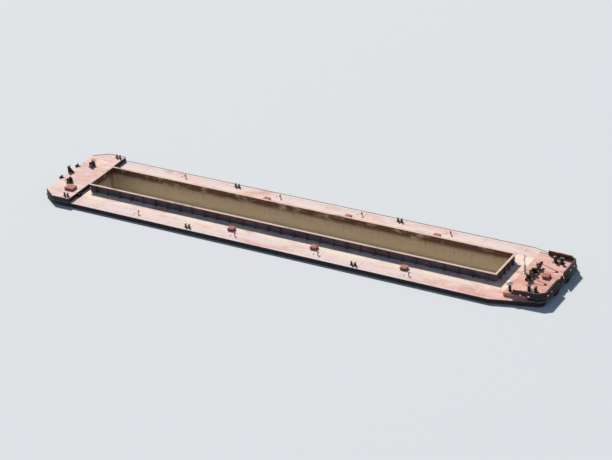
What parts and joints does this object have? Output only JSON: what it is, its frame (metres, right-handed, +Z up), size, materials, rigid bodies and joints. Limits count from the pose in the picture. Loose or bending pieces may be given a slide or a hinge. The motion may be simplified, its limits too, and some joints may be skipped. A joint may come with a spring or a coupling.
{
  "type": "river barge, half-size scale model",
  "caption": "Unpowered pushed river barge with one long open cargo hold, wide side decks, raked raised bow with bulwark and windlass, and a raised stern with push knees, as a half-size model.",
  "frame": {"origin": "amidships on the centreline, on the flat bottom plane, so that the keel plane is Z = 0", "axes": "+X points forward to the bow, +Y to port, +Z up"},
  "size_m": [39, 7.1, 2.875],
  "materials": {
    "hull_paint": "worn black bottom paint, brownish with dust and rust",
    "deck_paint": "faded red oxide deck paint with pale dust",
    "coaming_paint": "red-brown paint with rust runs",
    "hold_steel": "bare plate scoured by sand, with a film of pale dust",
    "fitting_paint": "black paint worn to steel on the edges",
    "gear_paint": "weathered grey-green machinery paint",
    "iron": "greased and rusty cast steel",
    "white_paint": "white paint, a little yellowed",
    "hatch_paint": "red oxide paint, darker than the deck"
  },
  "bodies": {
    "barge": {"afterpeak_hatch": "hatch_paint", "anchor_chain_port": "iron", "anchor_chain_starboard": "iron", "anchor_port": "iron", "anchor_starboard": "iron", "bitts_aft_port": "fitting_paint", "bitts_aft_starboard": "fitting_paint", "bitts_fore_port": "fitting_paint", "bitts_fore_starboard": "fitting_paint", "bitts_mid_aft_port": "fitting_paint", "bitts_mid_aft_starboard": "fitting_paint", "bitts_mid_fore_port": "fitting_paint", "bitts_mid_fore_starboard": "fitting_paint", "bow_bulwark_port": "coaming_paint", "bow_bulwark_starboard": "coaming_paint", "bow_roller_frame": "fitting_paint", "bow_section": "hull_paint", "coaming_aft": "coaming_paint", "coaming_fore": "coaming_paint", "coaming_port": "coaming_paint", "coaming_starboard": "coaming_paint", "coupling_beam": "fitting_paint", "double_bottom": "hull_paint", "forecastle": "deck_paint", "forepeak_hatch": "hatch_paint", "hold_floor": "hold_steel", "mast_foot": "white_paint", "poop": "deck_paint", "push_knee_port": "fitting_paint", "push_knee_starboard": "fitting_paint", "rubbing_strake_port": "fitting_paint", "rubbing_strake_starboard": "fitting_paint", "stern_section": "hull_paint", "tank_hatch_port_1": "hatch_paint", "tank_hatch_port_2": "hatch_paint", "tank_hatch_port_3": "hatch_paint", "tank_hatch_starboard_1": "hatch_paint", "tank_hatch_starboard_2": "hatch_paint", "tank_hatch_starboard_3": "hatch_paint", "ventilator": "white_paint", "winch_bed_port": "gear_paint", "winch_bed_starboard": "gear_paint", "windlass_bed": "gear_paint", "windlass_drive": "gear_paint", "wing_tank_port": "hull_paint", "wing_tank_starboard": "hull_paint"},
    "tank_lid_starboard_1": {"tank_lid_starboard_1": "hatch_paint"},
    "tank_lid_port_1": {"tank_lid_port_1": "hatch_paint"},
    "tank_lid_starboard_2": {"tank_lid_starboard_2": "hatch_paint"},
    "tank_lid_port_2": {"tank_lid_port_2": "hatch_paint"},
    "tank_lid_starboard_3": {"tank_lid_starboard_3": "hatch_paint"},
    "tank_lid_port_3": {"tank_lid_port_3": "hatch_paint"},
    "forepeak_lid": {"forepeak_lid": "hatch_paint"},
    "afterpeak_lid": {"afterpeak_lid": "hatch_paint"},
    "winch_starboard": {"winch_drum_starboard": "iron"},
    "winch_port": {"winch_drum_port": "iron"},
    "windlass": {"windlass_shaft": "iron"},
    "mast": {"signal_mast": "white_paint"},
    "bow_roller": {"bow_roller": "iron"}
  },
  "joints": [
    {"name": "tank_lid_starboard_1_hinge", "type": "hinge", "parent": "barge", "child": "tank_lid_starboard_1", "pos_m": [9.25, -2.0425, 1.47], "axis": [-1, 0, 0], "range_deg": [0, 110]},
    {"name": "tank_lid_port_1_hinge", "type": "hinge", "parent": "barge", "child": "tank_lid_port_1", "pos_m": [9.25, 2.0425, 1.47], "axis": [1, 0, 0], "range_deg": [0, 110]},
    {"name": "tank_lid_starboard_2_hinge", "type": "hinge", "parent": "barge", "child": "tank_lid_starboard_2", "pos_m": [2.5, -2.0425, 1.47], "axis": [-1, 0, 0], "range_deg": [0, 110]},
    {"name": "tank_lid_port_2_hinge", "type": "hinge", "parent": "barge", "child": "tank_lid_port_2", "pos_m": [2.5, 2.0425, 1.47], "axis": [1, 0, 0], "range_deg": [0, 110]},
    {"name": "tank_lid_starboard_3_hinge", "type": "hinge", "parent": "barge", "child": "tank_lid_starboard_3", "pos_m": [-4, -2.0425, 1.47], "axis": [-1, 0, 0], "range_deg": [0, 110]},
    {"name": "tank_lid_port_3_hinge", "type": "hinge", "parent": "barge", "child": "tank_lid_port_3", "pos_m": [-4, 2.0425, 1.47], "axis": [1, 0, 0], "range_deg": [0, 110]},
    {"name": "forepeak_lid_hinge", "type": "hinge", "parent": "barge", "child": "forepeak_lid", "pos_m": [17.9675, 0, 1.695], "axis": [0, -1, 0], "range_deg": [0, 110]},
    {"name": "afterpeak_lid_hinge", "type": "hinge", "parent": "barge", "child": "afterpeak_lid", "pos_m": [-17.7, -1.805, 1.77], "axis": [-1, 0, 0], "range_deg": [0, 110]},
    {"name": "windlass_turn", "type": "hinge", "parent": "barge", "child": "windlass", "pos_m": [17.35, 0, 1.8], "axis": [0, 1, 0], "continuous": true},
    {"name": "mast_fold", "type": "hinge", "parent": "barge", "child": "mast", "pos_m": [16.725, 0, 1.975], "axis": [0, -1, 0], "range_deg": [0, 88]},
    {"name": "bow_roller_turn", "type": "hinge", "parent": "barge", "child": "bow_roller", "pos_m": [19.15, 0, 1.645], "axis": [0, 1, 0], "continuous": true},
    {"name": "winch_starboard_turn", "type": "hinge", "parent": "barge", "child": "winch_starboard", "pos_m": [-18.35, -1.35, 1.84], "axis": [0, 1, 0], "continuous": true},
    {"name": "winch_port_turn", "type": "hinge", "parent": "barge", "child": "winch_port", "pos_m": [-18.35, 1.35, 1.84], "axis": [0, 1, 0], "continuous": true}
  ]
}
